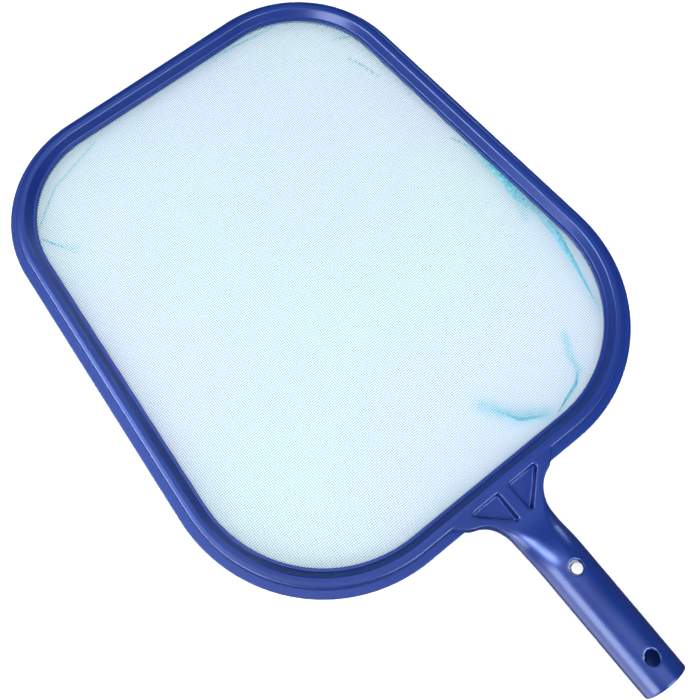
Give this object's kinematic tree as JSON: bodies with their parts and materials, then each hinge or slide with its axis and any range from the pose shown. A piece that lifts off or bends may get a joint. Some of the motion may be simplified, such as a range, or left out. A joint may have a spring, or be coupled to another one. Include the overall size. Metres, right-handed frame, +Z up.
{
  "type": "leaf skimmer net",
  "caption": "Flat pool leaf skimmer: a moulded blue frame clamps a fine woven mesh, with a hollow handle that locks into a pole by spring buttons.",
  "frame": {"origin": "middle of the bounding box in X and Y, at the level of the lower button's tip, which is the lowest point", "axes": "+Z up out of the raised side of the rim, +Y from the handle to the far edge of the frame, X across; X = 0 is the mirror plane"},
  "size_m": [0.3184, 0.498, 0.0316],
  "materials": {
    "blue_plastic": "moulded polypropylene, semi-gloss with a fine moulded grain",
    "woven_mesh": "fine plain-woven monofilament mesh, pale blue",
    "white_plastic": "moulded white acetal, satin"
  },
  "bodies": {
    "frame": {"upper_frame": "blue_plastic", "lower_ring": "blue_plastic", "net": "woven_mesh", "clip_bend": "white_plastic"},
    "top_button_arm": {"clip_arm_top": "white_plastic"},
    "bottom_button_arm": {"clip_arm_bottom": "white_plastic"}
  },
  "joints": [
    {"name": "top_button", "type": "hinge", "parent": "frame", "child": "top_button_arm", "pos_m": [0, -0.213, 0.0189], "axis": [-1, 0, 0], "range_deg": [0, 3.5], "stiffness_Nm_per_rad": 6, "springref_deg": -5.73},
    {"name": "bottom_button", "type": "hinge", "parent": "frame", "child": "bottom_button_arm", "pos_m": [0, -0.213, 0.0127], "axis": [1, 0, 0], "range_deg": [0, 3.5], "stiffness_Nm_per_rad": 6, "springref_deg": -5.73}
  ]
}
